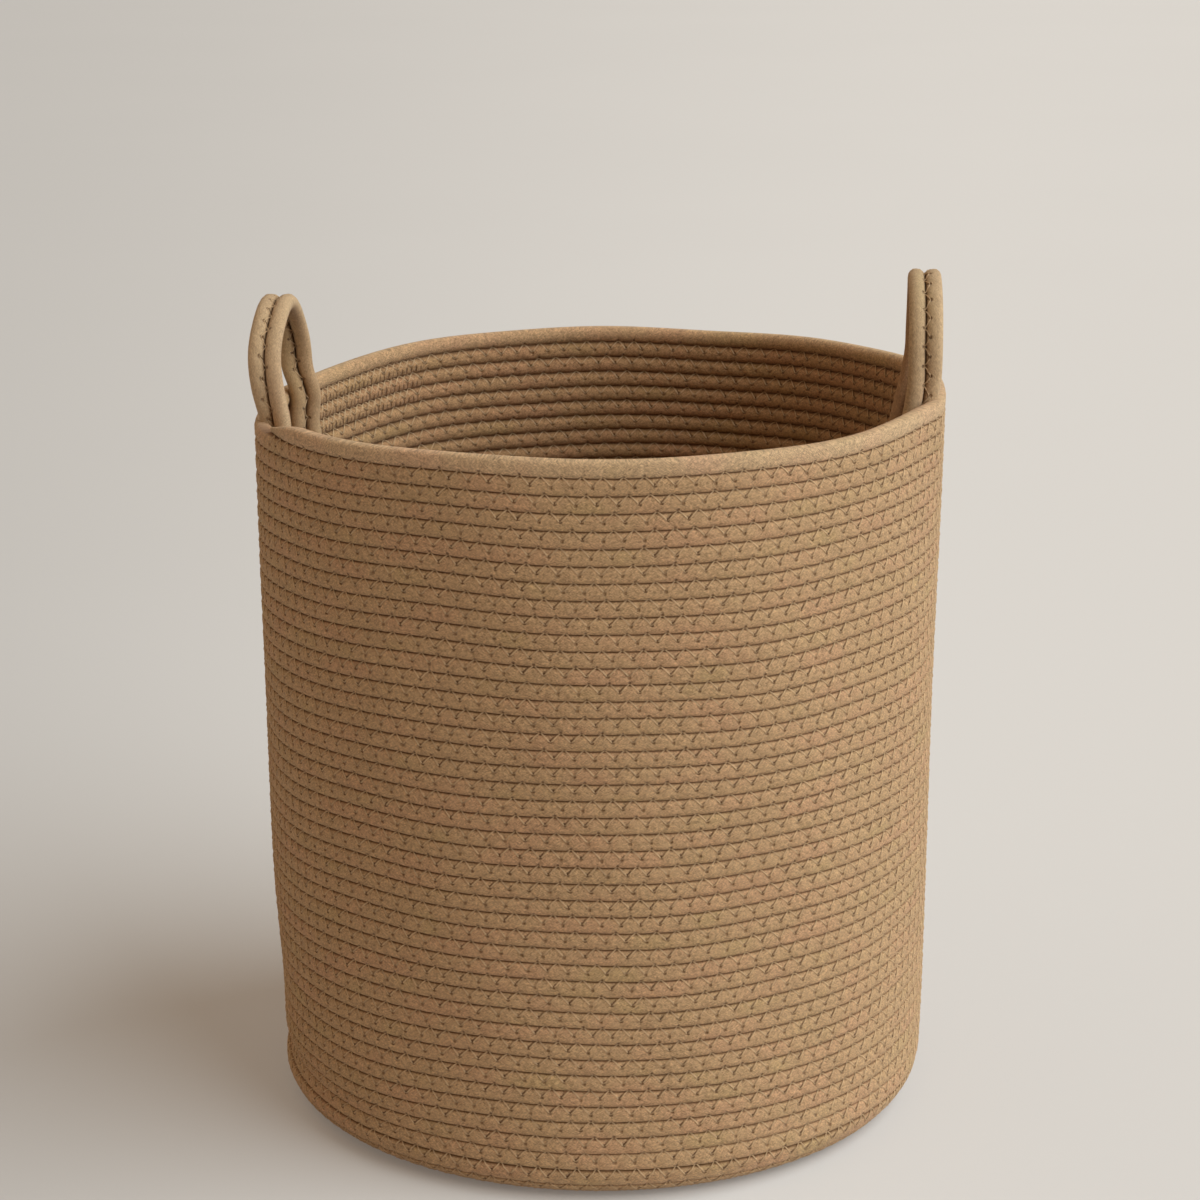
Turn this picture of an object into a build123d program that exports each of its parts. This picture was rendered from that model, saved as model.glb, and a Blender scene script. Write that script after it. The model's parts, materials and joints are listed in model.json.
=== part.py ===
from build123d import *
import os
from math import cos, pi, sin, sqrt

# Coiled rope basket with two rope handles.
# Frame: origin on the floor at the basket's centre, +Z up, handles on the X axis.
# The left handle is on -X and the right handle on +X; near is the -Y side, far is +Y.

# ---- basket body, mm
basket_height = 400.0        # floor to the top of the rim
rim_diameter = 376.0         # outside, at the rim
wall_taper = 8.0             # how much narrower the wall is where it starts to turn under
turn_up_radius = 17.5        # rope centreline, from the flat base to the wall
rope_diameter = 9.4          # basket rope, before it is pressed against its neighbours
lap_press = 0.5              # how much closer two laps lie than their diameter
floor_flat = 0.3             # how far the rope is pressed flat on its underside
rim_gap_margin = 3.0         # the rim lap stops this far short of the left handle's feet

# ---- sewing thread, mm
thread_diameter = 1.2        # a row of zigzag stitches lying in the groove between laps
thread_clearance = 0.05

# ---- handles, mm
handle_rope_diameter = 9.0
handle_span = 76.0           # between the centres of the two legs
handle_rise = 66.0           # top of the loop above the rim
handle_lean = 8.0            # degrees that each loop leans outward
strand_clearance = 0.1       # between the two ropes of a handle
foot_depth = 36.0            # sewn length of each leg below the rim
foot_clearance = 0.15        # between a foot and the inside of the wall
hinge_rise = 8.0             # flexing line of the loop above the rim
flex_clearance = 0.35        # between a foot and the loop that flexes above it

# ---- derived sizes
wall_foot_diameter = rim_diameter - wall_taper
lap_pitch = rope_diameter - lap_press
rope_radius = rope_diameter / 2
thread_radius = thread_diameter / 2
strand_radius = handle_rope_diameter / 2
base_level = rope_radius - floor_flat
rim_centre = Vector(rim_diameter / 2 - rope_radius, 0, basket_height - rope_radius)
bend_centre = Vector(wall_foot_diameter / 2 - rope_radius - turn_up_radius, 0,
                     base_level + turn_up_radius)
wall_foot = bend_centre + Vector(turn_up_radius, 0, 0)
wall_length = (rim_centre - wall_foot).length
bend_length = turn_up_radius * pi / 2
side_laps = round((wall_length + bend_length) / lap_pitch)
side_pitch = (wall_length + bend_length) / side_laps
base_laps = round(bend_centre.X / lap_pitch)
base_pitch = bend_centre.X / base_laps
last_lap = side_laps + base_laps
first_bend_lap = int(wall_length / side_pitch) + 1


def lap_centre(lap):
    """Centre of a lap's section in the XZ plane; lap 0 is the rim and the last is the middle."""
    if lap >= side_laps:
        return Vector(bend_centre.X - (lap - side_laps) * base_pitch, 0, base_level)
    travelled = lap * side_pitch
    if travelled <= wall_length:
        return rim_centre + (wall_foot - rim_centre) * (travelled / wall_length)
    angle = (travelled - wall_length) / turn_up_radius
    return bend_centre + Vector(turn_up_radius * cos(angle), 0, -turn_up_radius * sin(angle))


def outward(start, end):
    """Unit vector square to the line from start to end, pointing out of the basket."""
    along = (end - start).normalized()
    return Vector(-along.Z, 0, along.X)


def groove(lap, side, depth):
    """Point between a lap and the next one, depth away from their centre line."""
    here = lap_centre(lap)
    after = lap_centre(lap + 1)
    return (here + after) * 0.5 + outward(here, after) * (side * depth)


def seam_depth(lap):
    """Half the width of the pressed contact between a lap and the next one."""
    spacing = (lap_centre(lap + 1) - lap_centre(lap)).length
    return sqrt(rope_radius**2 - (spacing / 2)**2)


def seam(lap, side):
    return groove(lap, side, seam_depth(lap))


def crest_arc(lap, start, end):
    """Arc of the rope's surface on one lap, between two seams or a seam and the axis."""
    centre = lap_centre(lap)
    middle = centre + ((start - centre) + (end - centre)).normalized() * rope_radius
    return ThreePointArc(start, middle, end)


def lap_start(lap, side):
    return seam(lap - 1, side)


def lap_end(lap, side):
    """Where a lap's surface ends: at the next seam, or on the axis for the middle lap."""
    if lap == last_lap:
        return lap_centre(lap) + Vector(0, 0, -side * rope_radius)
    return seam(lap, side)


def coil(first, last):
    """Closed solid of the laps from first to last, pressed together at their seams."""
    outer = [crest_arc(n, lap_start(n, 1), lap_end(n, 1)) for n in range(first, last + 1)]
    inner = [crest_arc(n, lap_start(n, -1), lap_end(n, -1)) for n in range(first, last + 1)]
    closing = [Line(lap_start(first, 1), lap_start(first, -1)),
               Line(lap_end(last, 1), lap_end(last, -1))]
    return revolve(make_face(outer + inner + closing), Axis.Z)


def above_floor(shape):
    """Press the underside flat where it stands on the floor."""
    below = Cylinder(rim_diameter, rope_diameter, align=(Align.CENTER, Align.CENTER, Align.MAX))
    return shape - below


def rim_lap():
    """The last turn of the rope, open between the feet of the left handle."""
    top = rim_centre + (rim_centre - lap_centre(1)).normalized() * rope_radius
    surface = ThreePointArc(seam(0, 1), top, seam(0, -1))
    section = make_face([surface, Line(seam(0, -1), seam(0, 1))])
    half_gap = handle_span / 2 - strand_radius - rim_gap_margin
    gap = 2 * half_gap / (rim_diameter / 2) * 180 / pi
    lap = revolve(section, Axis.Z, revolution_arc=360 - gap)
    return lap.rotate(Axis.Z, 180 + gap / 2)


def stitch_row(lap, side):
    """Flat-sided ring of thread lying in the groove between a lap and the next one."""
    here = lap_centre(lap)
    after = lap_centre(lap + 1)
    reach = rope_radius + thread_radius + thread_clearance
    place = groove(lap, side, sqrt(reach**2 - ((after - here).length / 2)**2))
    across = outward(here, after) * thread_radius
    along = (after - here).normalized() * thread_radius
    corners = [place + across, place + along, place - across, place - along]
    return revolve(make_face(Polyline(*corners, close=True)), Axis.Z)


def stitch_rows(first, last, side):
    return Compound(children=[stitch_row(n, side) for n in range(first, last + 1)])


# ---- handles: everything is made for the right handle and mirrored for the left one
foot_bottom = basket_height - foot_depth
wall_slope = wall_taper / 2 / (rim_centre.Z - wall_foot.Z)
wall_inside = rim_diameter / 2 - rope_diameter - wall_slope * foot_depth
half_span = handle_span / 2
strand_spacing = handle_rope_diameter + strand_clearance
outer_strand_x = sqrt((wall_inside - foot_clearance - strand_radius)**2 - half_span**2)
inner_strand_x = outer_strand_x - strand_spacing
hinge_x = (outer_strand_x + inner_strand_x) / 2
hinge_z = basket_height + hinge_rise
strap_half_width = strand_spacing / 2 + strand_radius
foot_top = hinge_z - strap_half_width - flex_clearance
loop_top = basket_height + handle_rise - strand_radius
groove_reach = strand_radius + thread_radius + thread_clearance
groove_depth = sqrt(groove_reach**2 - (strand_spacing / 2)**2)


def loop_path(x, spread, start):
    """Upright leg, half circle and upright leg in the plane at x, with legs at +-spread."""
    spring_line = loop_top - half_span
    near_leg = Line((x, -spread, start), (x, -spread, spring_line))
    bow = ThreePointArc((x, -spread, spring_line), (x, 0, spring_line + spread),
                        (x, spread, spring_line))
    far_leg = Line((x, spread, spring_line), (x, spread, start))
    return Wire([near_leg, bow, far_leg])


def swept_round(path, radius):
    profile = Plane(origin=path @ 0, z_dir=path % 0) * Circle(radius)
    return sweep(profile, path)


def rounded_at_hinge():
    """Everything above the flexing line, and a round end about that line below it."""
    hinge_place = Pos(hinge_x, 0, hinge_z)
    round_end = hinge_place * Rot(90, 0, 0) * Cylinder(strap_half_width, rim_diameter)
    room = rim_diameter
    above = hinge_place * Box(room, room, room, align=(Align.CENTER, Align.CENTER, Align.MIN))
    return round_end + above


def leaned(shape):
    """Lean a loop outward about its flexing line."""
    return shape.rotate(Axis((hinge_x, 0, hinge_z), (0, 1, 0)), handle_lean)


def loop_rope(x):
    start = hinge_z - strap_half_width
    rope = swept_round(loop_path(x, half_span, start), strand_radius)
    return leaned(rope & rounded_at_hinge())


def loop_stitching():
    """Thread in the groove between the two ropes, on the outside and inside of the bow."""
    rows = [swept_round(loop_path(hinge_x, half_span + side * groove_depth, hinge_z),
                        thread_radius) for side in (1, -1)]
    return Compound(children=[leaned(row) for row in rows])


def post(x, y, radius):
    """Upright round bar over the sewn length of a foot."""
    bar = Cylinder(radius, foot_top - foot_bottom, align=(Align.CENTER, Align.CENTER, Align.MIN))
    return Pos(x, y, foot_bottom) * bar


def wall_corner(turn):
    """Plan position of a thread that touches the outer rope of the far foot and the wall."""
    strand = Vector(outer_strand_x, half_span, 0)
    to_strand = strand.length
    to_wall = wall_inside - thread_radius - thread_clearance
    along = (to_wall**2 + to_strand**2 - groove_reach**2) / (2 * to_strand)
    across = sqrt(to_wall**2 - along**2)
    radial = strand.normalized()
    return radial * along + Vector(-radial.Y, radial.X, 0) * (turn * across)


def foot_stitching(y_side):
    """Thread between the two ropes of a foot, and where its outer rope is sewn to the wall."""
    threads = [post(hinge_x, y_side * (half_span + side * groove_depth), thread_radius)
               for side in (1, -1)]
    for turn in (1, -1):
        corner = wall_corner(turn)
        threads.append(post(corner.X, y_side * corner.Y, thread_radius))
    return Compound(children=threads)


def right_handle_parts():
    parts = {
        "outer_rope": loop_rope(outer_strand_x),
        "inner_rope": loop_rope(inner_strand_x),
        "stitching": loop_stitching(),
    }
    for name, y_side in (("near", -1), ("far", 1)):
        parts[f"{name}_foot_outer_rope"] = post(outer_strand_x, y_side * half_span, strand_radius)
        parts[f"{name}_foot_inner_rope"] = post(inner_strand_x, y_side * half_span, strand_radius)
        parts[f"{name}_foot_stitching"] = foot_stitching(y_side)
    return parts


def basket_parts():
    return {
        "rim_lap": rim_lap(),
        "wall_coil": coil(1, first_bend_lap - 1),
        "turn_up_coil": above_floor(coil(first_bend_lap, side_laps)),
        "base_coil": above_floor(coil(side_laps + 1, last_lap)),
        "wall_outer_stitching": stitch_rows(0, first_bend_lap - 1, 1),
        "wall_inner_stitching": stitch_rows(0, first_bend_lap - 1, -1),
        "base_under_stitching": stitch_rows(first_bend_lap, last_lap - 1, 1),
        "base_top_stitching": stitch_rows(first_bend_lap, last_lap - 1, -1),
    }


nodes = basket_parts()
for part_name, shape in right_handle_parts().items():
    nodes[f"right_handle_{part_name}"] = shape
    nodes[f"left_handle_{part_name}"] = mirror(shape, Plane.YZ)

os.makedirs("parts", exist_ok=True)
for node, shape in nodes.items():
    export_step(shape, f"parts/{node}.step")
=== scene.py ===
import json
from math import ceil, cos, hypot, pi, radians, sin

import bpy
import numpy as np
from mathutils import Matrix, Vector


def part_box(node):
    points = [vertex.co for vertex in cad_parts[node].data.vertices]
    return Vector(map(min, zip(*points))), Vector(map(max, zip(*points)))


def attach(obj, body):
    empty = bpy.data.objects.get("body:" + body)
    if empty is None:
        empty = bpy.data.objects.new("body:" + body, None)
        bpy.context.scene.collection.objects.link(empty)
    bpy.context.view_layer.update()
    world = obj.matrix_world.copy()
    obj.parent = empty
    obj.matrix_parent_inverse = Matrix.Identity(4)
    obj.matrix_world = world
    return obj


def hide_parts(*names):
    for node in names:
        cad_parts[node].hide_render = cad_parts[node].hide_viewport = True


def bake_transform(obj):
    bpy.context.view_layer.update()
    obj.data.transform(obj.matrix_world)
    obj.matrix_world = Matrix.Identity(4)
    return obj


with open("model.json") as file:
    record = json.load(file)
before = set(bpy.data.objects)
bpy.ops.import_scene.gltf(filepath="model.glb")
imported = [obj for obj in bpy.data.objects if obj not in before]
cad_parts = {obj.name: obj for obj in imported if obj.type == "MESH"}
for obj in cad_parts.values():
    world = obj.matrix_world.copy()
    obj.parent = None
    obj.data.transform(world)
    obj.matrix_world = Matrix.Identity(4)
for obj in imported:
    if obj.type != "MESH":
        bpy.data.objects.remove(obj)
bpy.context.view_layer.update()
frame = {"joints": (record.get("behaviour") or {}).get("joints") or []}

# Coiled rope basket in metres: one continuous rope spirals down the wall and in across the
# base, zigzag stitched to its neighbouring laps, with two stitched double rope loop handles.

# ---- rope and stitches
ROPE_RADIUS = 0.0047          # across the wall, at the crest of a lap
ROPE_HALF_HEIGHT = 0.0047     # along the wall, pressed against its neighbours
STITCH_LENGTH = 0.0102        # one zigzag, from needle hole to needle hole
RINGS_PER_STITCH = 6
THREAD_RADIUS = 0.0004
TURN_UP_RADIUS = 0.0175       # rope centreline where the base turns up into the wall
SIDE_LAPS = 45
BASE_LAPS = 18
CENTRE_TURN = 0.42            # the share of a lap that curls up in the middle of the base
RIM_START = radians(203)      # where the rope ends, beside the left handle's near foot
END_TAPER = 0.20              # how thick the rope's pressed end is, of its own thickness
THREAD_SINK = 0.0002          # how far a thread lies in the rope's cover
THREAD_LEVEL = 0.0004         # the base rope's height over the floor, on its stitches

# ---- the stretch inside the left far foot that is sewn twice, in shares of a lap
DENSE_START = 0.205
DENSE_LENGTH = 0.087
DENSE_EDGE = 0.007
DENSE_LAPS = 3.9

# ---- handles
STRAND_RADIUS = 0.0045
HANDLE_SPAN = 0.076
LEAN = 0.0095                 # how far a loop's top stands outward of its feet
FOOT_SHIFT = 0.0015           # the feet stand this far outward of the hinge line
TWIST = radians(32)           # below the rim the strap turns to lie along the wall
RIGHT_SINK = 0.0027           # the handles are sewn in a little lower than the CAD ones
LEFT_SINK = 0.0078
LEG_TURN = radians(12.8)      # a leg's place round the rim, from the handle's middle
LEG_PUSH = 0.0022             # how far a leg pushes the wall out
PUSH_SPREAD = 0.09            # radians round the wall
PUSH_BOTTOM = 0.345           # the push grows from here
PUSH_FULL = 0.396             # to here

rim_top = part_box("rim_lap")[1].z
rim_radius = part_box("rim_lap")[1].y
foot_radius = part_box("turn_up_coil")[1].x

# ---- the wall's profile, as a path of the rope's centre from the rim down and in
base_level = ROPE_RADIUS + THREAD_LEVEL   # the zigzags under the base touch the floor
rim_centre = np.array([rim_radius - ROPE_RADIUS, rim_top - ROPE_RADIUS])
wall_foot = np.array([foot_radius - ROPE_RADIUS, base_level + TURN_UP_RADIUS])
wall_length = hypot(*(wall_foot - rim_centre))
bend_length = TURN_UP_RADIUS * pi / 2
bend_centre = wall_foot - np.array([TURN_UP_RADIUS, 0])
side_pitch = (wall_length + bend_length) / SIDE_LAPS
base_pitch = bend_centre[0] / BASE_LAPS
LAPS = SIDE_LAPS + BASE_LAPS


def profile(lap):
    """Radius and height of the rope's centre, and its outward direction, after lap turns."""
    travelled = (lap - 0.5) * side_pitch
    down = (wall_foot - rim_centre) / wall_length
    angle = np.clip((travelled - wall_length) / TURN_UP_RADIUS, 0, pi / 2)
    on_wall = np.minimum(travelled, wall_length)
    on_base = np.maximum(lap - 0.5 - SIDE_LAPS, 0) * base_pitch
    bent = angle > 0
    radius = np.where(bent, bend_centre[0] + TURN_UP_RADIUS * np.cos(angle) - on_base,
                      rim_centre[0] + down[0] * on_wall)
    height = np.where(bent, bend_centre[1] - TURN_UP_RADIUS * np.sin(angle),
                      rim_centre[1] + down[1] * on_wall)
    out = np.where(bent, np.cos(angle), -down[1])
    rise = np.where(bent, -np.sin(angle), down[0])
    return radius, height, out, rise


def bend_at(lap):
    """One over the radius at which the wall turns, or 0 where it runs straight."""
    travelled = (lap - 0.5) * side_pitch
    ease = side_pitch
    begun = smoothstep(travelled, wall_length - ease, wall_length + ease)
    done = smoothstep(travelled, wall_length + bend_length - ease,
                      wall_length + bend_length + ease)
    return (begun - done) / TURN_UP_RADIUS


def smoothstep(value, low, high):
    part = np.clip((value - low) / (high - low), 0, 1)
    return part * part * (3 - 2 * part)


def bump(value, centre, width):
    return np.exp(-((value - centre) / width) ** 2)


def turn_from(angle, centre):
    """Signed angle from centre, in radians, between -pi and pi."""
    return (angle - centre + pi) % (2 * pi) - pi


# ---- how the soft basket has settled: its left side has sunk and creased above the floor
SUNK_SIDE = radians(184)
SUNK_DEPTH = 0.0095
RAISED_HEIGHT = 0.0045        # how far the opposite side has risen
CREASE_SIDE = radians(190)
CREASE_SPREAD = 0.55          # radians round the wall
CREASE_HEIGHT = 0.029
CREASE_REACH = 0.011          # up and down
CREASE_DEPTH = 0.0045
HOLLOW_HEIGHT = 0.070         # a shallow hollow above the crease
HOLLOW_REACH = 0.045
HOLLOW_DEPTH = 0.0025
STIFF_RADIUS = 0.12           # the base keeps its shape inside this radius
SOFT_RADIUS = 0.165           # and gives way fully outside this one


def settle(points):
    """Moves points of the ideal basket to where the settled soft basket has them."""
    x, y, z = points.T
    angle = np.arctan2(y, x)
    radius = np.hypot(x, y)
    soft = smoothstep(radius, STIFF_RADIUS, SOFT_RADIUS)
    side = np.cos(angle - SUNK_SIDE)
    drop = np.where(side > 0, SUNK_DEPTH * side ** 3, RAISED_HEIGHT * side ** 3)
    crease = CREASE_DEPTH * bump(z, CREASE_HEIGHT, CREASE_REACH)
    hollow = HOLLOW_DEPTH * bump(z, HOLLOW_HEIGHT, HOLLOW_REACH)
    inward = (crease + hollow) * bump(turn_from(angle, CREASE_SIDE), 0, CREASE_SPREAD)
    # ripples round the wall, in and out, then up and down
    wave = 0.0007 * np.sin(3 * angle + 1.3 + 9 * z) + 0.0005 * np.sin(5 * angle + 0.4 - 14 * z)
    wave = (wave + 0.0004 * np.sin(11 * angle + 23 * z)) * smoothstep(z, 0.005, 0.05)
    lift = 0.0005 * np.sin(4 * angle + 31 * z) + 0.0004 * np.sin(9 * angle - 17 * z)
    scale = 1 + (wave - inward) * soft / np.maximum(radius, 1e-6)
    lowered = (drop - lift) * smoothstep(z, 0.010, 0.060) * soft
    return np.stack([x * scale, y * scale, z - lowered], 1)


def press_out(points):
    """The wall gives way a little at each sewn handle leg but the left near one."""
    x, y, z = points.T
    angle = np.arctan2(y, x)
    pushed = np.zeros(len(points))
    for leg in (-LEG_TURN, LEG_TURN, pi - LEG_TURN):
        pushed += LEG_PUSH * bump(turn_from(angle, leg), 0, PUSH_SPREAD)
    pushed *= smoothstep(z, PUSH_BOTTOM, PUSH_FULL)
    scale = 1 + pushed / np.maximum(np.hypot(x, y), 1e-6)
    return np.stack([x * scale, y * scale, z], 1)


# ---- stitch phases along the rope: whole numbers are needle holes
lap_steps = np.linspace(-1.5, LAPS + 0.5, (LAPS + 2) * 240)
lap_lengths = 2 * pi * np.maximum(profile(lap_steps)[0], 0.003)
rope_length = np.concatenate([[0], np.cumsum((lap_lengths[1:] + lap_lengths[:-1]) / 2
                                             * np.diff(lap_steps))])
rope_length -= np.interp(0, lap_steps, rope_length)


def length_at(lap):
    return np.interp(lap, lap_steps, rope_length)


def lap_at(length):
    return np.interp(length, rope_length, lap_steps)


def stitch_phase(lap):
    """Stitches sewn up to this point of the seam below the rope, with an uneven hand."""
    length = length_at(lap)
    return length / STITCH_LENGTH + 0.22 * np.sin(length * 7.3) + 0.15 * np.sin(length * 23.7)


# ---- a rope's section: flat-crowned outside, rounder inside
OUTER_ACROSS = np.array([1, 0.94, 0.76, 0.42, 0, -0.42, -0.76, -0.94, -1])
INNER_ACROSS = np.array([-0.9, -0.55, 0, 0.55, 0.9])
ACROSS = np.concatenate([OUTER_ACROSS, INNER_ACROSS])
IS_OUTER = np.concatenate([np.ones(len(OUTER_ACROSS)), np.zeros(len(INNER_ACROSS))]) > 0
OUTER_POWER = 3.4
INNER_POWER = 2.25
COIL_POWER = np.where(IS_OUTER, OUTER_POWER, INNER_POWER)
HANDLE_POWER = 2.2


def crown(across, power):
    return (1 - np.abs(across) ** power) ** (1 / power)


def from_whole(phase):
    return phase - np.round(phase)


def dents(upper, lower, across):
    """How deep the stitches pull the rope in, for its two rows of needle holes."""
    own = 0.00075 * bump(from_whole(upper), 0, 0.17) * bump(across, 0.2, 0.4)
    other = 0.00055 * bump(from_whole(lower + 0.5), 0, 0.15) * bump(across, -0.75, 0.25)
    return own + other


def section_points(centre, out, up, radius, half_height, power, upper, lower, along, bend=0.0):
    """Rings of a rope's surface: centre, out and up are one row per ring.

    Bend is how sharply the rows of rope turn, for laps spread apart outside a bend."""
    height = crown(ACROSS, power) * radius
    shape = np.where(IS_OUTER, height, -height)[None, :]
    lumps = 0.00016 * (np.sin(along * 611)[:, None] * np.cos(ACROSS * 2.1)[None, :]
                       + np.sin(along * 1733 + 1.0)[:, None] * np.sin(ACROSS * 3.7)[None, :])
    pulled = dents(upper[:, None], lower[:, None], ACROSS[None, :])
    shape = shape - np.sign(shape) * (pulled + lumps) * (np.abs(shape) > 1e-6)
    sideways = (ACROSS * half_height)[None, :] * (1 + shape * np.reshape(bend, (-1, 1)))
    return (centre[:, None, :] + out[:, None, :] * shape[:, :, None]
            + up[:, None, :] * sideways[:, :, None])


def tube_faces(rings, sides):
    ring = np.arange(rings - 1)[:, None] * sides
    side = np.arange(sides)[None, :]
    after = (side + 1) % sides
    quads = np.stack([ring + side, ring + after, ring + sides + after, ring + sides + side], -1)
    return quads.reshape(-1, 4)


def add_attribute(mesh, name, values):
    layer = mesh.attributes.new(name, "FLOAT_VECTOR", "POINT")
    layer.data.foreach_set("vector", values.astype(np.float32).ravel())


def tube_mesh(name, rings, attributes, band):
    """Closed tube through rings of points (rings, sides, 3), with an OFBake map in strips."""
    count, sides = rings.shape[:2]
    quads = tube_faces(count, sides)
    mesh = bpy.data.meshes.new(name)
    caps = [list(range(sides))[::-1], list(range((count - 1) * sides, count * sides))]
    loops = np.concatenate([quads.ravel(), caps[0], caps[1]]).astype(np.int32)
    starts = np.concatenate([np.arange(len(quads)) * 4,
                             len(quads) * 4 + np.array([0, sides])]).astype(np.int32)
    mesh.vertices.add(count * sides)
    mesh.vertices.foreach_set("co", rings.astype(np.float32).ravel())
    mesh.loops.add(len(loops))
    mesh.loops.foreach_set("vertex_index", loops)
    mesh.polygons.add(len(starts))
    mesh.polygons.foreach_set("loop_start", starts)
    for key, values in attributes.items():
        add_attribute(mesh, key, values)
    strip_map(mesh, quads, count, sides, band, len(loops))
    mesh.update(calc_edges=True)
    mesh.validate()
    shade(mesh, sides, count)
    return mesh


def strip_map(mesh, quads, count, sides, band, loop_count):
    """Bake map: the tube is cut in strips of band rings, laid side by side."""
    strips = ceil((count - 1) / band)
    ring = np.repeat(np.arange(count - 1), sides)
    side = np.tile(np.arange(sides), count - 1)
    strip = ring // band
    along = (ring - strip * band)[:, None] + np.array([0, 0, 1, 1])[None, :]
    across = side[:, None] + np.array([0, 1, 1, 0])[None, :]
    u = (along + 0.5) / (band + 1)
    v = (strip[:, None] + (across + 0.35) / (sides + 0.7)) / strips
    places = np.zeros((loop_count, 2), np.float32)
    places[:len(quads) * 4] = np.stack([u, v], -1).reshape(-1, 2)
    layer = mesh.uv_layers.new(name="OFBake")
    layer.uv.foreach_set("vector", places.ravel())


def shade(mesh, sides, count):
    """Smooth all over, with sharp rims where the end caps are."""
    mesh.polygons.foreach_set("use_smooth", np.ones(len(mesh.polygons), bool))
    ends = np.empty(len(mesh.edges) * 2, np.int32)
    mesh.edges.foreach_get("vertices", ends)
    ring = ends.reshape(-1, 2) // sides
    same_end = (ring[:, 0] == ring[:, 1]) & ((ring[:, 0] == 0) | (ring[:, 0] == count - 1))
    sharp = mesh.attributes.new("sharp_edge", "BOOLEAN", "EDGE")
    sharp.data.foreach_set("value", same_end)


def add_object(name, mesh, material):
    piece = bpy.data.objects.new(name, mesh)
    bpy.context.scene.collection.objects.link(piece)
    mesh.materials.append(material)
    return piece


# ---- the coil
def coil_frame(lap):
    """Centre, outward and upward directions of the rope after lap turns, as rows."""
    radius, height, out, rise = profile(lap)
    angle = RIM_START + 2 * pi * lap
    across = np.stack([np.cos(angle), np.sin(angle)], 1)
    centre = np.column_stack([across * radius[:, None], height])
    outward = np.column_stack([across * out[:, None], rise])
    upward = np.column_stack([across * -rise[:, None], out])
    return centre, outward, upward


def coil_rope(name, first, last, material):
    """The rope from lap first to lap last."""
    begin, end = length_at(first), length_at(last)
    count = int((end - begin) / STITCH_LENGTH * RINGS_PER_STITCH) + 1
    along = np.linspace(begin, end, count)
    lap = lap_at(along)
    centre, out, up = coil_frame(lap)
    upper, lower = stitch_phase(lap - 1), stitch_phase(lap)
    upper = np.where(lap < 1, 0.5, upper)
    lower = np.where(lap > LAPS - 1, 0.0, lower)
    flattened = smoothstep(along, length_at(0) - 0.012, length_at(0) + 0.045)
    taper = END_TAPER + (1 - END_TAPER) * flattened
    centre = centre - up * ((1 - taper) * ROPE_HALF_HEIGHT * 0.8)[:, None]
    rings = section_points(centre, out, up, ROPE_RADIUS, ROPE_HALF_HEIGHT, COIL_POWER,
                           upper, lower, along, bend_at(lap))
    rings = centre[:, None, :] + (rings - centre[:, None, :]) * taper[:, None, None]
    flat = settle(press_out(rings.reshape(-1, 3)))
    flat[:, 2] = np.maximum(flat[:, 2], 0.0)
    turn = STITCH_LENGTH / RINGS_PER_STITCH
    mesh = tube_mesh(name, flat.reshape(rings.shape),
                     rope_attributes(upper, lower, along, lap, *coil_seams(lap)),
                     int(1.0 / turn))
    return add_object(name, mesh, material)


def coil_seams(lap):
    """Where the coil has a seam above and below it, and where it is sewn most densely."""
    above = smoothstep(lap, 0.96, 1.0)
    below = 1 - smoothstep(lap, LAPS - 1.0, LAPS - 0.96)
    beside = (lap + DENSE_START) % 1.0
    begun = smoothstep(beside, 0.0, DENSE_EDGE)
    ended = smoothstep(beside, DENSE_LENGTH - DENSE_EDGE, DENSE_LENGTH)
    return above, below, begun * (1 - ended) * (lap > 1 - DENSE_START) * (lap < DENSE_LAPS)


def rope_attributes(upper, lower, along, seed, seam_above, seam_below, dense=0.0):
    """stitch: phase above, phase below, place across. cover: length and girth, and a seed.

    painted_shade_and_dense: how close a seam is and the side that faces inward, which both get
    painted shade, and where stitches are dense."""
    sides = len(ACROSS)
    stitch = np.stack([np.repeat(upper, sides), np.repeat(lower, sides),
                       np.tile(ACROSS, len(upper))], 1)
    girth = np.where(IS_OUTER, ACROSS, -ACROSS + 2) * ROPE_HALF_HEIGHT * 1.4
    cover = np.stack([np.repeat(along, sides), np.tile(girth, len(along)),
                      np.repeat(seed, sides)], 1)
    # painted shade along the edges of a lap where a neighbouring lap meets it
    beside = np.where(ACROSS > 0, np.reshape(seam_above, (-1, 1)), np.reshape(seam_below, (-1, 1)))
    seam = np.broadcast_to(beside * smoothstep(np.abs(ACROSS), 0.78, 0.99), (len(along), sides))
    # the inward side, which the material paints in shade
    inside = np.tile(np.where(IS_OUTER, 0.0, 1.0), len(along))
    thick = np.repeat(np.broadcast_to(dense, len(along)), sides)
    painted_shade_and_dense = np.stack([seam.ravel(), inside, thick], 1)
    return {"stitch": stitch, "cover": cover, "painted_shade_and_dense": painted_shade_and_dense}


# ---- zigzag thread
BELOW, ABOVE = 1, 0           # the rope below the seam, and the one above it
SURFACED = 0.0001             # a thread's height over the cover, beside a needle hole
PROUD = 0.0003                # and where it crosses the seam
SECOND_HOLE = -0.74           # the needle holes above the seam, across their rope


def zigzag_stitch(first_hole, surfaced, crossing, past, crossing_share, past_share,
                  surfaced_share, depth):
    """One stitch as (share of it, rope, place across the rope, lift), back and forth alike.

    The thread comes out of the first hole in the rope below, crosses the seam and goes into
    the second hole, in the rope above."""
    way_up = ((surfaced_share, BELOW, surfaced, SURFACED),
              (crossing_share, BELOW, crossing, PROUD),
              (past_share, ABOVE, past, PROUD))
    way_down = tuple((1 - share, *rest) for share, *rest in reversed(way_up))
    return (((0.0, BELOW, first_hole, -depth),) + way_up
            + ((0.5, ABOVE, SECOND_HOLE, -depth),) + way_down)


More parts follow.
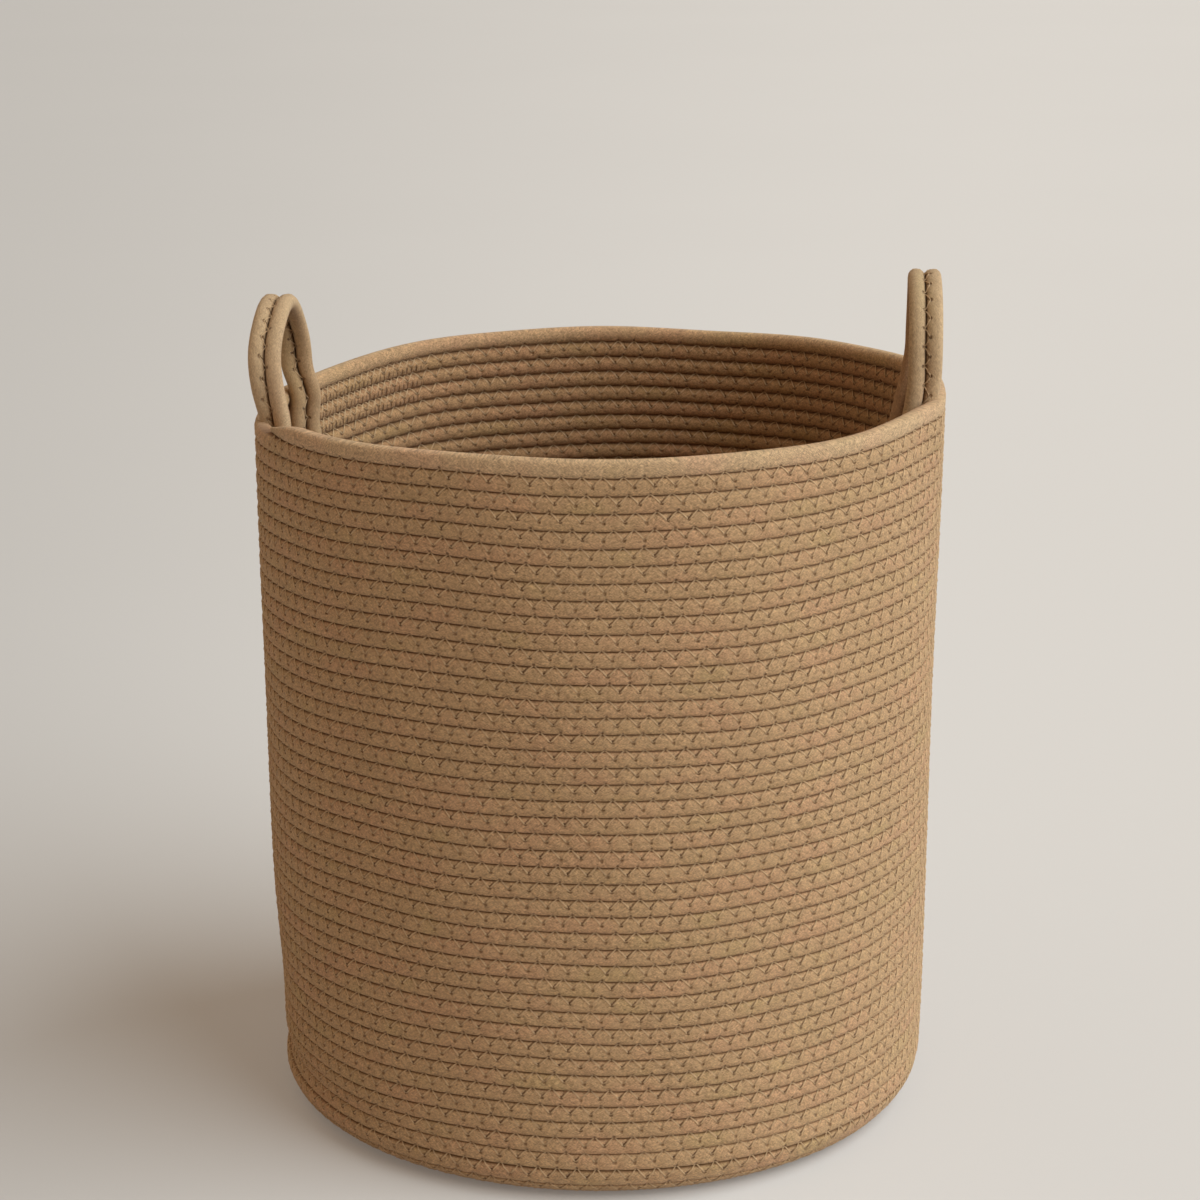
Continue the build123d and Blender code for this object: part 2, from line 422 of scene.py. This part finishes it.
ZIGZAG = zigzag_stitch(0.12, 0.32, 0.80, -0.90, 0.30, 0.41, 0.09, 0.0007)
HANDLE_ZIGZAG = zigzag_stitch(0.48, 0.62, 0.90, -0.94, 0.35, 0.42, 0.10, 0.0006)


def zigzag_points(surface, phases, phase_to_place, side, zigzag=ZIGZAG):
    """Points of the zigzag over a seam; surface(place, rope, across, lift, side) is its ground."""
    parts = []
    for share, rope, across, lift in zigzag:
        place = phase_to_place(phases + share)
        parts.append(surface(place, rope, across, lift, side))
    return np.stack(parts, 1).reshape(-1, 3)


def thread_rings(points, sides, radius):
    """Rings of a thin round thread through points."""
    ahead = np.gradient(points, axis=0)
    ahead /= np.linalg.norm(ahead, axis=1)[:, None] + 1e-12
    helper = np.where(np.abs(ahead[:, 2:3]) < 0.9, np.array([[0, 0, 1.0]]),
                      np.array([[1.0, 0, 0]]))
    right = np.cross(ahead, helper)
    right /= np.linalg.norm(right, axis=1)[:, None]
    above = np.cross(right, ahead)
    angle = np.arange(sides) * 2 * pi / sides
    ring = (np.cos(angle)[None, :, None] * right[:, None, :]
            + np.sin(angle)[None, :, None] * above[:, None, :])
    return points[:, None, :] + ring * radius


def thread_piece(name, points, material, sides=4):
    rings = thread_rings(points, sides, THREAD_RADIUS)
    along = np.concatenate([[0], np.cumsum(np.linalg.norm(np.diff(points, axis=0), axis=1))])
    cover = np.stack([np.repeat(along, sides), np.tile(np.arange(sides), len(along)) * 0.0006,
                      np.zeros(len(along) * sides)], 1)
    mesh = tube_mesh(name, rings, {"cover": cover}, 3000)
    return add_object(name, mesh, material)


def coil_surface(lap, rope, across, lift, side):
    centre, out, up = coil_frame(lap + rope)
    power = OUTER_POWER if side > 0 else INNER_POWER
    height = crown(across, power) * ROPE_RADIUS - THREAD_SINK + lift
    spread = 1 + height * side * bend_at(lap + rope)
    return centre + out * (height * side) + up * (across * ROPE_HALF_HEIGHT * spread)[:, None]


def coil_thread(name, first, last, side, material, shift=0.0):
    """Zigzag over the seam between laps first and last, on the outside (1) or inside (-1)."""
    start, end = stitch_phase(np.array([first, last]))
    phases = np.arange(ceil(start), int(end)) + shift
    laps = np.linspace(first - 0.1, last + 0.1, int((last - first + 0.2) * 2000))
    known = stitch_phase(laps)
    points = zigzag_points(coil_surface, phases, lambda p: np.interp(p, known, laps), side)
    points = settle(press_out(points))
    points[:, 2] = np.maximum(points[:, 2], THREAD_RADIUS)
    return thread_piece(name, points, material)


# ---- node helpers
class Graph:
    """Short calls that add shader nodes and return their output sockets."""

    def __init__(self, name):
        self.material = bpy.data.materials.new(name)
        self.material.use_nodes = True
        self.nodes = self.material.node_tree.nodes
        self.links = self.material.node_tree.links
        self.surface = self.nodes["Principled BSDF"]

    def put(self, socket, value):
        if isinstance(value, bpy.types.NodeSocket):
            self.links.new(value, socket)
        else:
            socket.default_value = value

    def math(self, operation, *values):
        node = self.nodes.new("ShaderNodeMath")
        node.operation = operation
        for socket, value in zip(node.inputs, values):
            self.put(socket, value)
        return node.outputs[0]

    def step(self, value, low, high, to_low=0.0, to_high=1.0):
        node = self.nodes.new("ShaderNodeMapRange")
        node.interpolation_type = "SMOOTHSTEP"
        for key, given in (("Value", value), ("From Min", low), ("From Max", high),
                           ("To Min", to_low), ("To Max", to_high)):
            self.put(node.inputs[key], given)
        return node.outputs["Result"]

    def attribute(self, name):
        node = self.nodes.new("ShaderNodeAttribute")
        node.attribute_name = name
        return node.outputs["Vector"]

    def split(self, vector):
        node = self.nodes.new("ShaderNodeSeparateXYZ")
        self.put(node.inputs[0], vector)
        return node.outputs

    def join(self, x, y, z):
        node = self.nodes.new("ShaderNodeCombineXYZ")
        for socket, value in zip(node.inputs, (x, y, z)):
            self.put(socket, value)
        return node.outputs[0]

    def noise(self, vector, scale, detail=2.0, roughness=0.5):
        node = self.nodes.new("ShaderNodeTexNoise")
        self.put(node.inputs["Vector"], vector)
        self.put(node.inputs["Scale"], scale)
        self.put(node.inputs["Detail"], detail)
        self.put(node.inputs["Roughness"], roughness)
        return node.outputs["Fac"]

    def white(self, value):
        node = self.nodes.new("ShaderNodeTexWhiteNoise")
        node.noise_dimensions = "1D"
        self.put(node.inputs["W"], value)
        return node.outputs["Value"]

    def mix(self, share, first, second):
        node = self.nodes.new("ShaderNodeMix")
        node.data_type = "RGBA"
        self.put(node.inputs["Factor"], share)
        self.put(node.inputs[6], first)
        self.put(node.inputs[7], second)
        return node.outputs[2]

    def tinted(self, share, colour, tint):
        node = self.nodes.new("ShaderNodeMix")
        node.data_type = "RGBA"
        node.blend_type = "MULTIPLY"
        node.clamp_result = False
        self.put(node.inputs["Factor"], share)
        self.put(node.inputs[6], colour)
        self.put(node.inputs[7], tint)
        return node.outputs[2]

    def scaled(self, colour, share):
        node = self.nodes.new("ShaderNodeVectorMath")
        node.operation = "SCALE"
        self.put(node.inputs[0], colour)
        self.put(node.inputs["Scale"], share)
        return node.outputs[0]

    def bump(self, height, distance, strength=1.0):
        node = self.nodes.new("ShaderNodeBump")
        self.put(node.inputs["Height"], height)
        self.put(node.inputs["Distance"], distance)
        self.put(node.inputs["Strength"], strength)
        return node.outputs[0]


def hole_shape(graph, phase, across, at, reach):
    """1 in a needle hole, falling to 0 at reach metres from it; each stitch is a bit off."""
    number = graph.math("ROUND", phase)
    chance = graph.white(number)
    off = graph.math("SUBTRACT", phase, number)
    at = graph.math("ADD", at, graph.math("MULTIPLY", graph.math("SUBTRACT", chance, 0.5), 0.3))
    sideways = graph.math("MULTIPLY", off, STITCH_LENGTH)
    upward = graph.math("MULTIPLY", graph.math("SUBTRACT", across, at), ROPE_HALF_HEIGHT)
    distance = graph.math("SQRT", graph.math("ADD", graph.math("POWER", sideways, 2.0),
                                             graph.math("POWER", upward, 2.0)))
    hole = graph.step(distance, reach * 0.3, reach, 1.0, 0.0)
    depth = graph.math("ADD", 0.55, graph.math("MULTIPLY", chance, 0.6))
    return graph.math("MULTIPLY", hole, depth), sideways, upward


def slit_shadow_shape(graph, sideways, upward):
    """1 along the slit that runs from a needle hole up towards the seam, where the thread's shadow
    is painted.
    """
    leaning = graph.math("MULTIPLY", upward, 0.62)
    off = graph.math("ABSOLUTE", graph.math("SUBTRACT", sideways, leaning))
    thin = graph.step(off, 0.00015, 0.0006, 1.0, 0.0)
    begun = graph.step(upward, -0.0004, 0.0003)
    ended = graph.step(upward, 0.0014, 0.0034, 1.0, 0.0)
    return graph.math("MULTIPLY", graph.math("MULTIPLY", thin, begun), ended)


def braid_place(graph, along, girth, seed, slope):
    """Coordinates stretched along one of the two slants of the rope's braided cover."""
    rise = graph.math("MULTIPLY", girth, slope)
    length = graph.math("MULTIPLY", graph.math("ADD", along, rise), 0.3)
    width = graph.math("SUBTRACT", along, rise)
    return graph.join(length, width, graph.math("MULTIPLY", seed, 0.013 + 0.001 * slope))


# ---- materials
# in both colour sets "dark" is painted shade, for the grooves between laps or strands, the needle
# holes and the slits beside the threads
BASKET_COLOURS = {"base": (0.437, 0.268, 0.138, 1), "warm": (0.454, 0.261, 0.139, 1),
                  "green": (0.425, 0.275, 0.130, 1), "dark": (0.145, 0.064, 0.022, 1)}
# the handles' rope is a paler copy of the basket's: painted light for the light the handles catch
HANDLE_COLOURS = {"base": (0.47, 0.315, 0.180, 1), "warm": (0.485, 0.308, 0.180, 1),
                  "green": (0.455, 0.320, 0.170, 1), "dark": (0.16, 0.078, 0.030, 1)}
THREAD_COLOUR = (0.50, 0.33, 0.185)
# painted shade for the rope's inward side
INSIDE_SHADE_TINT = (0.92, 0.85, 0.79, 1)
TOP_LAP_HIGHLIGHT = (1.13, 1.21, 1.32, 1)      # painted highlight: the top lap is a little paler, for the light the rim catches
RIB_PITCH = 0.0013                        # between the slanting ribs of the rope's cover
TWIST_PITCH = 0.0009                      # of the sewing thread


def rope_material(name, base, warm, green, dark, hole_at, grain):
    """Dyed cotton rope: fine slanting ribs, fibres, flecks and needle holes, with painted shade in
    the seams, needle holes and slits and on the inward side, and a painted highlight on the top
    lap.
    """
    graph = Graph(name)
    upper, lower, across = graph.split(graph.attribute("stitch"))
    along, girth, seed = graph.split(graph.attribute("cover"))
    # seam and inside drive painted shade; dense marks the twice sewn stretch
    seam, inside, dense = graph.split(graph.attribute("painted_shade_and_dense"))
    fine = graph.join(along, girth, graph.math("MULTIPLY", seed, 0.013))
    long_patch = graph.join(graph.math("MULTIPLY", along, 0.35), girth, seed)
    own, sideways, upward = hole_shape(graph, upper, across, hole_at, 0.0013)
    other, _, _ = hole_shape(graph, graph.math("ADD", lower, 0.5), across, SECOND_HOLE, 0.0010)
    uneven = graph.noise(long_patch, 60.0, 1.0)
    strength = graph.step(uneven, 0.35, 0.60, 0.45, 1.0)
    # painted shadow of the thread beside each needle hole, also a groove in the bump
    slit = graph.math("MULTIPLY", slit_shadow_shape(graph, sideways, upward), strength)
    holes = graph.math("MAXIMUM", own, graph.math("MULTIPLY", other, 0.75))
    pits = graph.math("MAXIMUM", holes, graph.math("MULTIPLY", slit, 0.8))
    nick, _, _ = hole_shape(graph, graph.math("MULTIPLY", upper, 3.0), across, -0.35, 0.0026)
    nick = graph.math("MULTIPLY", nick, graph.math("MULTIPLY", dense, inside))
    nick = graph.math("MULTIPLY", nick, 0.65)
    pits = graph.math("MAXIMUM", pits, nick)
    fibre = graph.noise(graph.join(graph.math("MULTIPLY", along, 0.45), girth,
                                   graph.math("MULTIPLY", seed, 0.1)), 2600.0, 3.0, 0.65)
    slant = graph.math("ADD", along, graph.math("MULTIPLY", girth, 0.7))
    rib = graph.math("SINE", graph.math("MULTIPLY", slant, 2 * pi / RIB_PITCH))
    rising = graph.noise(braid_place(graph, along, girth, seed, 1.0), 1250.0, 2.0)
    falling = graph.noise(braid_place(graph, along, girth, seed, -1.0), 1250.0, 2.0)
    fleck = graph.step(graph.math("MAXIMUM", rising, falling), 0.56, 0.68)
    speck = graph.step(graph.math("MINIMUM", rising, falling), 0.34, 0.44, 1.0, 0.0)
    mottle = graph.noise(fine, 420.0, 2.0)
    hue = graph.noise(long_patch, 22.0, 2.0)
    colour = graph.mix(graph.step(hue, 0.46, 0.66), base, warm)
    colour = graph.mix(graph.step(hue, 0.30, 0.44, 0.75, 0.0), colour, green)
    tone = graph.math("ADD", graph.step(mottle, 0.3, 0.7, 0.90, 1.10),
                      graph.math("MULTIPLY", graph.math("SUBTRACT", fibre, 0.5), 0.8))
    tone = graph.math("ADD", tone, graph.math("MULTIPLY", rib, 0.02))
    tone = graph.math("ADD", tone, graph.math("MULTIPLY", fleck, 0.42))
    tone = graph.math("SUBTRACT", tone, graph.math("MULTIPLY", speck, 0.36))
    tone = graph.math("ADD", 1.0, graph.math("MULTIPLY", graph.math("SUBTRACT", tone, 1.0), grain))
    # painted shade on the rope's inward side
    colour = graph.tinted(inside, graph.scaled(colour, tone), INSIDE_SHADE_TINT)
    # painted highlight: the top lap of the coil is paler
    colour = graph.tinted(graph.step(seed, 0.96, 1.0, 1.0, 0.0), colour, TOP_LAP_HIGHLIGHT)
    # painted shade in the grooves between neighbouring laps
    colour = graph.mix(graph.math("MULTIPLY", seam, 0.85), colour, dark)
    # painted shade in the needle holes, the slits beside the threads and the nicks
    colour = graph.mix(graph.math("MULTIPLY", pits, 0.9), colour, dark)
    height = graph.math("ADD", graph.math("ADD", graph.math("MULTIPLY", fibre, 0.45),
                                          graph.math("MULTIPLY", fleck, 0.25)),
                        graph.math("MULTIPLY", rib, 0.10))
    height = graph.math("SUBTRACT", height, graph.math("MULTIPLY", pits, 2.4))
    graph.put(graph.surface.inputs["Base Color"], colour)
    graph.put(graph.surface.inputs["Roughness"], graph.step(fibre, 0.2, 0.8, 0.82, 0.98))
    graph.surface.inputs["Specular IOR Level"].default_value = 0.25
    graph.surface.inputs["Sheen Weight"].default_value = 0.06
    graph.surface.inputs["Sheen Roughness"].default_value = 0.5
    graph.put(graph.surface.inputs["Normal"], graph.bump(height, 0.0006, 1.0))
    return graph.material


def thread_material(name, base):
    """Twisted spun thread."""
    graph = Graph(name)
    along, girth, _ = graph.split(graph.attribute("cover"))
    slant = graph.math("ADD", along, girth)
    twist = graph.math("SINE", graph.math("MULTIPLY", slant, 2 * pi / TWIST_PITCH))
    tone = graph.math("ADD", 1.0, graph.math("MULTIPLY", twist, 0.10))
    patch = graph.noise(graph.join(along, 0.0, 0.0), 30.0, 1.0)
    tone = graph.math("MULTIPLY", tone, graph.step(patch, 0.3, 0.7, 0.88, 1.12))
    graph.put(graph.surface.inputs["Base Color"], graph.scaled(base, tone))
    graph.surface.inputs["Roughness"].default_value = 0.75
    graph.surface.inputs["Specular IOR Level"].default_value = 0.3
    graph.put(graph.surface.inputs["Normal"], graph.bump(twist, 0.0001, 0.5))
    return graph.material


rope = rope_material("basket_cotton", **BASKET_COLOURS, hole_at=0.12, grain=1.0)
handle_cotton = rope_material("handle_cotton", **HANDLE_COLOURS, hole_at=0.48, grain=0.6)
thread = thread_material("sewing_thread", THREAD_COLOUR)


# ---- build the basket
BAND_LAPS = 9                 # the wall's rope is cut in bands of this many laps
BAND_COUNT = 5
TURNED_UNDER = SIDE_LAPS + 0.5
for number in range(1, BAND_COUNT + 1):
    last = TURNED_UNDER if number == BAND_COUNT else number * BAND_LAPS
    band = coil_rope(f"wall_rope_{number}", (number - 1) * BAND_LAPS, last, rope)
    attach(band, "basket")
    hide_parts("rim_lap", "wall_coil", "turn_up_coil")
base = coil_rope("base_rope", TURNED_UNDER, LAPS + CENTRE_TURN, rope)
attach(base, "basket")
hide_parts("base_coil")

SEAM_LAPS = 15                # the wall's thread is cut in pieces of this many laps
for side, word, wall_node, base_node in (
        (1, "outer", "wall_outer_stitching", "base_under_stitching"),
        (-1, "inner", "wall_inner_stitching", "base_top_stitching")):
    for number in (1, 2, 3):
        seam = coil_thread(f"wall_{word}_thread_{number}", (number - 1) * SEAM_LAPS,
                           number * SEAM_LAPS, side, thread)
        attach(seam, "basket")
        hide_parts(wall_node)
    seam = coil_thread(f"base_{word}_thread", SIDE_LAPS, LAPS - 1.2, side, thread)
    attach(seam, "basket")
    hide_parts(base_node)


# ---- extra stitches on the inside, beside the left handle's far foot
for number in (1, 2, 3):
    first = number - DENSE_START
    sewn = coil_thread(f"reinforcing_{number}", first, first + DENSE_LENGTH, -1, thread, 0.5)
    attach(sewn, "basket")

# ---- handles: made for one side, then turned to its place
hinge = {joint["name"]: joint for joint in frame["joints"]}
hinge_x = hinge["right_handle_flex"]["pos_m"][0]
loop_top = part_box("right_handle_outer_rope")[1].z
foot_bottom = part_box("right_handle_near_foot_outer_rope")[0].z


def handle_path(count):
    """Lengths along a handle and, for each, its strap's seam and two directions across it."""
    half = HANDLE_SPAN / 2
    crown_z = loop_top - STRAND_RADIUS - half
    leg = crown_z - foot_bottom
    along = np.linspace(0, 2 * leg + pi * half, count)
    turn = np.clip((along - leg) / half, 0, pi)
    down = np.maximum(along - leg - pi * half, 0)
    y = -half * np.cos(turn)
    z = np.where(along < leg, foot_bottom + along, crown_z + half * np.sin(turn) - down)
    return along, y, z, np.stack([np.zeros(count), -np.cos(turn), np.sin(turn)], 1)


def left_leg_shift(above, far):
    """How the left handle bows out above the rim and draws in at it; far is 1 at its far leg."""
    near_shift = 0.0031 * bump(above, 0.042, 0.020) - 0.0016 * bump(above, 0.004, 0.014)
    far_shift = -0.005 * bump(above, 0.003, 0.013) - 0.002 * bump(above, 0.028, 0.016)
    return far * far_shift + (1 - far) * near_shift


def handle_frame(count, turned):
    """Seam line of a handle's strap, the way out of its face and the way to the inner strand."""
    along, y, z, face = handle_path(count)
    above = z - rim_top
    x = hinge_x + FOOT_SHIFT + LEAN * smoothstep(above, -0.045, 0.020)
    if turned:
        x = x + left_leg_shift(above, 0.5 - y / HANDLE_SPAN)
    twist = TWIST * (1 - smoothstep(above, -0.012, 0.034))
    inward = np.array([[-1.0, 0, 0]])
    cosine, sine = np.cos(twist)[:, None], np.sin(twist)[:, None]
    out = cosine * face - sine * inward
    to_inner = cosine * inward + sine * face
    sink = LEFT_SINK if turned else RIGHT_SINK
    return along, np.stack([x, y, z - sink], 1), out, to_inner


def turned_to(points, turned):
    return points * np.array([-1, -1, 1]) if turned else points


def handle_phase(along):
    return along / STITCH_LENGTH + 0.12 * np.sin(along * 90)


def handle_surface(turned):
    """Ground for the zigzag on a handle, at lengths given in metres along it."""
    along, seam, out, to_inner = handle_frame(400, turned)

    def at(place, values):
        return np.stack([np.interp(place, along, values[:, axis]) for axis in range(3)], 1)

    def surface(place, rope, across, lift, side):
        height = side * (crown(across, HANDLE_POWER) * STRAND_RADIUS - THREAD_SINK + lift)
        offset = (across - (1 if rope else -1)) * STRAND_RADIUS
        return at(place, seam) + at(place, to_inner) * offset + at(place, out) * height

    return surface, along[-1]


def handle_strand(name, turned, outer, material):
    """One strand of a handle; the outer one is farther from the basket's middle."""
    count = int(handle_path(2)[0][-1] / 0.0014)
    along, seam, out, to_inner = handle_frame(count, turned)
    sign = 1 if outer else -1
    centre = seam - to_inner * sign * STRAND_RADIUS
    phase = handle_phase(along)
    upper = phase if outer else np.full(count, 0.5)
    lower = np.zeros(count) if outer else phase
    rings = section_points(centre, out, to_inner, STRAND_RADIUS, STRAND_RADIUS,
                           HANDLE_POWER, upper, lower, along + 3.0 * sign)
    ends = np.minimum(along, along[-1] - along)
    taper = 0.55 + 0.45 * smoothstep(ends, 0, 0.006)
    rings = centre[:, None, :] + (rings - centre[:, None, :]) * taper[:, None, None]
    points = settle(turned_to(rings.reshape(-1, 3), turned))
    seed = np.full(count, 70.0 + 7 * sign + 3 * turned)
    mesh = tube_mesh(name, points.reshape(rings.shape),
                     rope_attributes(upper, lower, along, seed, float(outer),
                                     float(not outer)), 100)
    return add_object(name, mesh, material)


def handle_thread(name, turned, side, material):
    surface, length = handle_surface(turned)
    known = np.linspace(0, length, 1000)
    phases = handle_phase(known)
    whole = np.arange(ceil(phases[0] + 0.3), int(phases[-1] - 0.3)).astype(float)
    points = zigzag_points(surface, whole, lambda p: np.interp(p, phases, known), side,
                           HANDLE_ZIGZAG)
    points = settle(turned_to(points, turned))
    return thread_piece(name, points, material)


def add_handle(word, turned):
    """Both strands and both zigzags of a handle, its strap bent round into a loop above the rim.
    """
    pieces = []
    for strand in ("outer", "inner"):
        rope_piece = handle_strand(f"{word}_{strand}_strand", turned, strand == "outer",
                                   handle_cotton)
        nodes = [f"{word}_handle_{part}{strand}_rope" for part in ("", "near_foot_", "far_foot_")]
        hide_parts(*nodes)
        pieces.append(rope_piece)
    for face, side in (("crown", 1), ("grip", -1)):
        sewn = handle_thread(f"{word}_{face}_thread", turned, side, thread)
        nodes = [f"{word}_handle_{part}stitching" for part in ("", "near_foot_", "far_foot_")]
        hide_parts(*nodes)
        pieces.append(sewn)
    for piece in pieces:
        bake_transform(piece)


add_handle("right", False)
add_handle("left", True)

# ---- stage, light and camera
VIEW_TURN = radians(4)
VIEW_PITCH = radians(15.92)
VIEW_DISTANCE = 1.630
VIEW_HEIGHT = 0.7436
VIEW_LENS = 91.1
FLOOR_COLOUR = (0.563, 0.541, 0.534)
# the floor's glow is painted bounce light
FLOOR_GLOW_COLOUR = (1.0, 0.93, 0.85)
FLOOR_GLOW = 0.11
WORLD_COLOUR = (1.0, 0.745, 0.50, 1)
WORLD_STRENGTH = 0.34


def floor_material():
    """Matt pale floor with painted shade, a little darker towards the camera's left, and a faint
    glow of painted bounce light.
    """
    graph = Graph("pale_floor")
    place = graph.nodes.new("ShaderNodeNewGeometry").outputs["Position"]
    patch = graph.noise(place, 1.4, 3.0)
    tone = graph.step(patch, 0.3, 0.7, 0.996, 1.004)
    sideways, deep, _ = graph.split(place)
    # painted shade: the floor darkens towards the camera's left
    floor_shade_fan = graph.math("DIVIDE", graph.math("ADD", sideways, VIEW_DISTANCE * sin(VIEW_TURN)),
                     graph.math("MAXIMUM", graph.math("ADD", deep, VIEW_DISTANCE), 0.2))
    tone = graph.math("MULTIPLY", tone, graph.step(floor_shade_fan, -0.30, 0.12, 0.74, 1.0))
    graph.put(graph.surface.inputs["Base Color"], graph.scaled(FLOOR_COLOUR, tone))
    # painted bounce light: the floor glows a little, lifting its shadows
    graph.put(graph.surface.inputs["Emission Color"], graph.scaled(FLOOR_GLOW_COLOUR, tone))
    graph.surface.inputs["Emission Strength"].default_value = FLOOR_GLOW
    graph.surface.inputs["Roughness"].default_value = 0.85
    return graph.material


def add_floor():
    mesh = bpy.data.meshes.new("floor")
    half = 20.0
    mesh.from_pydata([(-half, -half, 0), (half, -half, 0), (half, half, 0), (-half, half, 0)],
                     [], [(0, 1, 2, 3)])
    add_object("floor", mesh, floor_material())


def add_sun(name, azimuth, elevation, spread, power, colour):
    """A large soft light, far away; azimuth is counted from +X."""
    data = bpy.data.lights.new(name, "SUN")
    data.angle = spread
    data.energy = power
    data.color = colour
    lamp = bpy.data.objects.new(name, data)
    bpy.context.scene.collection.objects.link(lamp)
    toward = Vector((cos(azimuth) * cos(elevation), sin(azimuth) * cos(elevation),
                     sin(elevation)))
    lamp.rotation_euler = toward.to_track_quat("Z", "Y").to_euler()


def add_world():
    world = bpy.data.worlds.new("studio")
    bpy.context.scene.world = world
    world.use_nodes = True
    sky = world.node_tree.nodes["Background"]
    sky.inputs["Color"].default_value = WORLD_COLOUR
    sky.inputs["Strength"].default_value = WORLD_STRENGTH


def add_camera():
    data = bpy.data.cameras.new("camera")
    data.lens = VIEW_LENS
    camera = bpy.data.objects.new("camera", data)
    bpy.context.scene.collection.objects.link(camera)
    camera.location = (VIEW_DISTANCE * sin(VIEW_TURN), -VIEW_DISTANCE * cos(VIEW_TURN),
                       VIEW_HEIGHT)
    back = Vector((sin(VIEW_TURN) * cos(VIEW_PITCH), -cos(VIEW_TURN) * cos(VIEW_PITCH),
                   sin(VIEW_PITCH)))
    camera.rotation_euler = back.to_track_quat("Z", "Y").to_euler()
    bpy.context.scene.camera = camera


bpy.context.scene.view_settings.view_transform = "Standard"
add_floor()
add_world()
add_sun("key", azimuth=radians(-13), elevation=radians(37), spread=radians(72), power=3.6,
        colour=(0.95, 1.07, 1.11))
add_sun("fill", azimuth=radians(172), elevation=radians(27), spread=radians(90), power=0.42,
        colour=(1.0, 0.82, 0.60))
add_camera()
